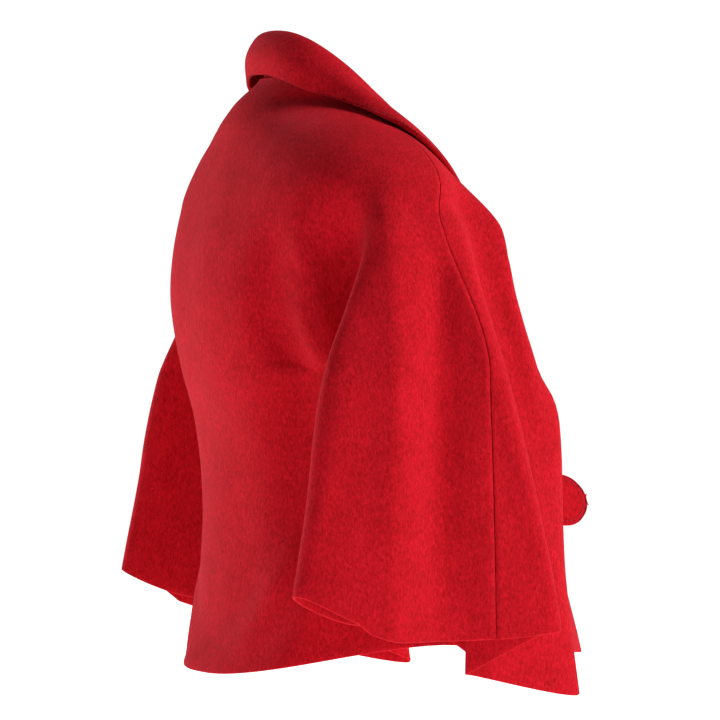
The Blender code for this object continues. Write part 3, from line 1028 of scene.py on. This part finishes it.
# %% [markdown]
# The collar is two layers, turned and pressed. It stands a little at the back,
# rolls over, and falls on the shoulders as a wide soft band that leaves a dark
# gap under its edge.

# %% Shoulders under the collar
def yoke(angle, height):
    """A point of the cloth over the shoulders, with the way out from it."""
    step = 0.002
    x, y = at_neck(oval(height, angle), height, angle)
    x_low, y_low = at_neck(oval(height - step, angle), height - step, angle)
    outward = Vector((math.sin(angle), math.cos(angle), 0.0))
    down = Vector((x_low - x, y_low - y, -step))
    across = outward.cross(Vector((0.0, 0.0, 1.0)))
    away = down.cross(across).normalized()
    if away.z < 0:
        away.negate()
    return Vector((x, y, height)), away


print("the cloth behind the neck faces up by", round(yoke(0.0, -0.04)[1].z, 2), "of its way out")

# %% [markdown]
# Seven points make the collar's section: seam, stand, roll, fall and edge. They
# move with the angle round the neck, so that the collar lies flatter and lower
# to the front, and one smooth curve goes through them.

# %% Section of the collar
COLLAR_END = math.radians(168)
COLLAR_LIFT = 0.0042      # of the stand over the cloth at the neck seam
STAND_DOWN = 0.005        # that the stand laps below the seam
STAND_IN = 0.0042         # and how far inside it
ROLL = (0.042, 0.152)     # height of the roll at the back, and its fall to the front
ROLL_POWER = 1.36         # above 1 keeps the fall for the front
ROLL_LEAST = 0.012        # that the roll stands over its seam
EDGE = (-0.003, 0.084, 0.075)   # height of the edge at the back, and its two falls
EDGE_AWAY = (0.0075, 0.0030)    # of the edge from the cloth at the back, and less in front
FLARE = 0.004             # that the edge stands out at the back
ROLL_PLACE = 0.13         # of the roll, from seam to edge
ROLL_INNER = (0.005, 0.004)     # in and down from the roll to the stand
ROLL_OUTER = (0.008, 0.006)     # out and down from the roll to the fall
SWELL = 0.0025            # of the fall in its middle


def collar_profile(angle):
    """The collar's section at one angle: seam, stand, roll and edge of the fall."""
    turned = math.sin(angle / 2) ** 2
    outward = Vector((math.sin(angle), math.cos(angle), 0.0))
    seam_z = neck_height(angle)
    seam, _away = yoke(angle, seam_z)
    steep = (neck_height(angle + 0.01) - seam_z) / (0.01 * NECK_HALF_WIDTH)
    lift = COLLAR_LIFT * math.sqrt(1.0 + steep**2)
    base = seam + Vector((0.0, 0.0, lift - STAND_DOWN)) - outward * STAND_IN
    roll_z = ROLL[0] - ROLL[1] * turned**ROLL_POWER
    edge_z = EDGE[0] - EDGE[1] * turned - EDGE[2] * turned**3
    cloth, away = yoke(angle, edge_z)
    edge = cloth + away * (EDGE_AWAY[0] - EDGE_AWAY[1] * turned)
    edge += outward * FLARE * (1 - turned) ** 4
    roll = base.lerp(edge, ROLL_PLACE)
    roll.z = max(roll_z, base.z + ROLL_LEAST)
    inner = roll - outward * ROLL_INNER[0]
    inner.z -= ROLL_INNER[1]
    outer = roll + outward * ROLL_OUTER[0]
    outer.z -= ROLL_OUTER[1]
    middle = outer.lerp(edge, 0.5) + (away + outward) * SWELL
    return [base, base.lerp(inner, 0.5), inner, roll, outer, middle, edge]


def collar_point(angle, share):
    """A point of the collar, share of the way from its seam to its edge."""
    profile = collar_profile(abs(angle))
    start = 2 * profile[0] - profile[1]
    end = 2 * profile[-1] - profile[-2]
    point = curve(profile, share * (len(profile) - 1), start, end)
    return point if angle >= 0 else mirror(point)


print("the collar's edge falls", round(1000 * sum(EDGE[1:])), "mm from back to front")

# %% [markdown]
# The collar gets its own fine grid, from one front end round the nape to the
# other, and then the same wall as the cloth, only thicker.

# %% Collar
COLLAR_COLUMNS = 144
COLLAR_ROWS = 44
EDGE_ROWS = 1.35          # above 1 draws the rows together at the collar's edge
COLLAR_WANDER = 0.8       # share of the slow noise that its edge takes


def make_collar():
    points, faces = {}, []
    columns, rows = COLLAR_COLUMNS, COLLAR_ROWS
    for column in range(columns + 1):
        angle = COLLAR_END * (2 * column / columns - 1)
        for row in range(rows + 1):
            share = 1.0 - (1.0 - row / rows) ** EDGE_ROWS
            point = collar_point(angle, share)
            points[row, column] = point + Vector((0.0, 0.0, COLLAR_WANDER * wander(point) * share))
    for column in range(columns):
        for row in range(rows):
            faces.append([(row + i, column + j) for i, j in ((0, 0), (0, 1), (1, 1), (1, 0))])
    normals = surface_normals(points, [("collar", corners) for corners in faces])
    print("collar has", round(cloth_area(points, faces), 4), "square metres of cloth")
    return soft_shell("capelet_collar", points, normals, faces, COLLAR_CLOTH, trim_wool)


collar = make_collar()

# %% [markdown]
# The tab is a short strap with a half-round end. It lies on the right front for
# a third of its length and then stands forward past the edge.

# %% Plan of the tab
TAB_HEIGHT = -0.403       # middle of the tab
TAB_WIDTH = 0.050
TAB_REACH = 0.073         # from its sewn end to its rounded end
TAB_SEWN = 0.026          # length that lies on the front
FRONT_LENGTH = 0.27       # of the front's section, from side seam to front edge
TAB_LIFT = (CLOTH + TAB_CLOTH) / 2 + 0.0006   # of its middle over the front's
TAB_TURN = 0.020          # length over which it bends forward
AHEAD = Vector((-0.10, -1.0))


def tab_point(distance, height):
    """The tab lies along the right front, then stands forward past its edge."""
    on_front = max(0.0, TAB_SEWN - distance)
    column = 2.0 - on_front / FRONT_LENGTH
    here = body_point(height, column)
    behind = body_point(height, column - 0.02)
    along = (here - behind).normalized()
    away = Vector((-along.y, along.x))
    if away.y > 0:
        away.negate()
    plan = here + away * TAB_LIFT
    past = distance - TAB_SEWN
    if past > 0:
        turn = smoothstep(0.0, TAB_TURN, past)
        plan += along.lerp(AHEAD, 0.35 + 0.65 * turn) * past
    return Vector((-plan.x, plan.y, height))


print("tab reaches", round(-1000 * tab_point(TAB_REACH, TAB_HEIGHT).y), "mm forward")

# %% [markdown]
# Its columns follow a sine, so that they come closer towards the round end, and
# there each is shortened to the width of the half circle.

# %% Tab
TAB_ACROSS = 24
TAB_ALONG = 48
TIP = 0.004               # half the width of its very end


def make_tab():
    radius = TAB_WIDTH / 2
    points, faces = {}, []
    for i in range(TAB_ALONG + 1):
        distance = TAB_REACH * math.sin(i / TAB_ALONG * math.pi / 2)
        past = max(0.0, distance - (TAB_REACH - radius))
        half = max(TIP, math.sqrt(max(0.0, radius**2 - past**2)))
        for j in range(TAB_ACROSS + 1):
            points[i, j] = tab_point(distance, TAB_HEIGHT + half * (2 * j / TAB_ACROSS - 1))
    for i in range(TAB_ALONG):
        for j in range(TAB_ACROSS):
            faces.append([(i + a, j + b) for a, b in ((0, 0), (0, 1), (1, 1), (1, 0))])
    normals = surface_normals(points, [("tab", corners) for corners in faces])
    print("tab has", round(cloth_area(points, faces), 4), "square metres of cloth")
    return soft_shell("capelet_tab", points, normals, faces, TAB_CLOTH, trim_wool)


tab = make_tab()

# %% [markdown]
# Topstitching holds the turned edges of collar and tab flat. Each stitch is a
# short bead of thread, pressed half way into the nap.

# %% Stitches
STITCH = 0.0030           # length of one
STITCH_STEP = 0.0044      # from one to the next
THREAD_RADIUS = 0.00042
STITCH_SIDES = 6
# place along a stitch and its thickness there, as shares
STITCH_SHAPE = ((-0.5, 0.25), (-0.32, 0.9), (0.0, 1.0), (0.32, 0.9), (0.5, 0.25))
PROUD = 0.0001            # how far the thread's middle stands out of the wool


def evenly(path, step):
    """Spots this far apart along a path, each with its way forward and out."""
    spots, left = [], 0.0
    for (here, out), (there, _) in zip(path, path[1:]):
        length = (there - here).length
        while left < length:
            spots.append((here.lerp(there, left / length), (there - here).normalized(), out))
            left += step
        left -= length
    return spots


def stitches(name, paths):
    """One piece with a bead of thread at every step along these paths."""
    places, polygons = [], []
    for path in paths:
        for spot, along, out in evenly(path, STITCH_STEP):
            aside = along.cross(out).normalized()
            first = len(places)
            for slide, swell in STITCH_SHAPE:
                for side in range(STITCH_SIDES):
                    turn = 2 * math.pi * side / STITCH_SIDES
                    reach = (aside * math.cos(turn) + out * math.sin(turn)) * THREAD_RADIUS * swell
                    places.append(spot + along * STITCH * slide + reach)
            for ring in range(len(STITCH_SHAPE) - 1):
                for side in range(STITCH_SIDES):
                    a = first + ring * STITCH_SIDES + side
                    b = first + ring * STITCH_SIDES + (side + 1) % STITCH_SIDES
                    polygons.append([a, b, b + STITCH_SIDES, a + STITCH_SIDES])
            polygons.append([first + side for side in reversed(range(STITCH_SIDES))])
            end = first + (len(STITCH_SHAPE) - 1) * STITCH_SIDES
            polygons.append([end + side for side in range(STITCH_SIDES)])
    print(name, "has", len(places) // (STITCH_SIDES * len(STITCH_SHAPE)), "stitches")
    return add_piece(name, places, polygons, thread)


print("a stitch is", STITCH * 1000, "mm long")

# %% [markdown]
# On the collar one row of stitches follows the edge a few millimetres in. How
# far that is down the section changes with the angle, so it is searched for.

# %% Collar stitching
COLLAR_INSET = 0.0052     # of the stitches from the edge
INSET_STEP = 0.004        # share of the section by which the search goes up
STITCH_TURNS = 220


def inset_share(angle, inset):
    """How far down the collar a spot this far from its edge lies."""
    edge, share = collar_point(angle, 1.0), 1.0
    while (collar_point(angle, share) - edge).length < inset:
        share -= INSET_STEP
    return share


def on_collar(angle, share):
    here = collar_point(angle, share)
    aside = collar_point(angle + 0.01, share) - here
    down = collar_point(angle, share + 0.01) - here
    out = aside.cross(down).normalized()
    if out.z < 0:
        out.negate()
    return here + out * (COLLAR_CLOTH / 2 + PROUD), out


collar_path = []
for i in range(STITCH_TURNS + 1):
    angle = (COLLAR_END - 0.05) * (2 * i / STITCH_TURNS - 1)
    collar_path.append(on_collar(angle, inset_share(angle, COLLAR_INSET)))
collar_stitching = stitches("collar_stitching", [collar_path])

# %% [markdown]
# On the tab the stitches run up one long side, round the end and back. They show
# on both faces, since they go right through.

# %% Tab stitching
TAB_INSET = 0.005         # of the stitches from the edge
SIDE_STEPS = 20
ROUND_STEPS = 24


def on_tab(distance, height, side):
    here = tab_point(distance, height)
    ahead = tab_point(distance + 0.001, height) - here
    out = ahead.cross(Vector((0.0, 0.0, 1.0))).normalized() * side
    return here + out * (TAB_CLOTH / 2 + PROUD), out


def tab_path(side):
    radius = TAB_WIDTH / 2 - TAB_INSET
    straight = TAB_REACH - TAB_WIDTH / 2
    steps = range(2, SIDE_STEPS)
    path = [on_tab(straight * i / SIDE_STEPS, TAB_HEIGHT - radius, side) for i in steps]
    for i in range(ROUND_STEPS + 1):
        turn = math.pi * (i / ROUND_STEPS - 0.5)
        height = TAB_HEIGHT + radius * math.sin(turn)
        path.append(on_tab(straight + radius * math.cos(turn), height, side))
    path += [on_tab(straight * i / SIDE_STEPS, TAB_HEIGHT + radius, side) for i in reversed(steps)]
    return path


tab_stitching = stitches("tab_stitching", [tab_path(1), tab_path(-1)])

# %% [markdown]
# Each piece says which solid it stands for and which body it moves with.
# Stitches stand for no solid: they only ride.

# %% Fit the pieces to the frame
# piece, solid that it stands for, finish
FITTED = (
    (back, "back_and_sleeve_backs", "boiled_wool"),
    (left_front, "left_front_and_sleeve", "boiled_wool"),
    (right_front, "right_front_and_sleeve", "boiled_wool"),
    (collar, "collar", "collar_wool"),
    (tab, "front_tab", "collar_wool"),
)
for piece, node, slot in FITTED:
    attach(piece, "root")
    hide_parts(node)
for piece in (collar_stitching, tab_stitching):
    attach(piece, "root")
print(len(FITTED), "solids replaced")

# %% [markdown]

# %% [markdown]
# The garment hangs above a plain white floor, low enough not to touch it. The
# floor glows, so that it stays white out to the edges of the picture.

# %% Floor
FLOOR = -0.64
bpy.ops.mesh.primitive_plane_add(size=30.0, location=(0.0, 0.0, FLOOR))
floor = bpy.context.object
floor.name = "floor"
paint = bpy.data.materials.new("floor_paint")
paint.use_nodes = True
paint_surface = paint.node_tree.nodes["Principled BSDF"]
set_inputs(paint_surface, {"Base Color": (0.95, 0.95, 0.95, 1.0), "Roughness": 0.9})
set_inputs(paint_surface, {"Emission Color": (1.0, 1.0, 1.0, 1.0), "Emission Strength": 1.0})
floor.data.materials.append(paint)
print("floor at", FLOOR)

# %% [markdown]
# The room looks white to the camera but lights the cloth only a little. A weak
# room leaves the creases their dark sides.

# %% Room
WHITE = (1.0, 1.0, 1.0, 1.0)
room = bpy.data.worlds.new("room")
room.use_nodes = True
around = room.node_tree.nodes["Background"]
set_inputs(around, {"Color": WHITE, "Strength": 0.05})
seen = room.node_tree.nodes.new("ShaderNodeBackground")
set_inputs(seen, {"Color": WHITE, "Strength": 1.1})
which = room.node_tree.nodes.new("ShaderNodeLightPath")
either = room.node_tree.nodes.new("ShaderNodeMixShader")
shown = room.node_tree.nodes["World Output"]
room.node_tree.links.new(which.outputs["Is Camera Ray"], either.inputs["Fac"])
room.node_tree.links.new(around.outputs["Background"], either.inputs[1])
room.node_tree.links.new(seen.outputs["Background"], either.inputs[2])
room.node_tree.links.new(either.outputs["Shader"], shown.inputs["Surface"])
bpy.context.scene.world = room
print("room lights the cloth by", round(around.inputs["Strength"].default_value, 2))

# %% [markdown]
# A strong light in front and above rakes over the sleeve, and a weaker one from
# behind lifts the back. Both are wide, for soft shadows. The Standard view shows
# the red as strong as it is, where Blender's usual view would pale it.

# %% Lights
# name, to the right, towards the camera, up, size, power
LIGHTS = (
    ("front_light", 2.6, 0.35, 2.2, 0.9, 104.0),
    ("back_light", -2.5, -1.5, 0.7, 0.8, 40.0),
)
for name, right, near, up, size, power in LIGHTS:
    lamp = bpy.data.lights.new(name, "AREA")
    lamp.size = size
    lamp.energy = power
    light = bpy.data.objects.new(name, lamp)
    light.location = target + screen_right * right + screen_near * near + Vector((0.0, 0.0, up))
    light.rotation_euler = (light.location - target).to_track_quat("Z", "Y").to_euler()
    bpy.context.scene.collection.objects.link(light)
bpy.context.scene.view_settings.view_transform = "Standard"
print(len(LIGHTS), "lights")
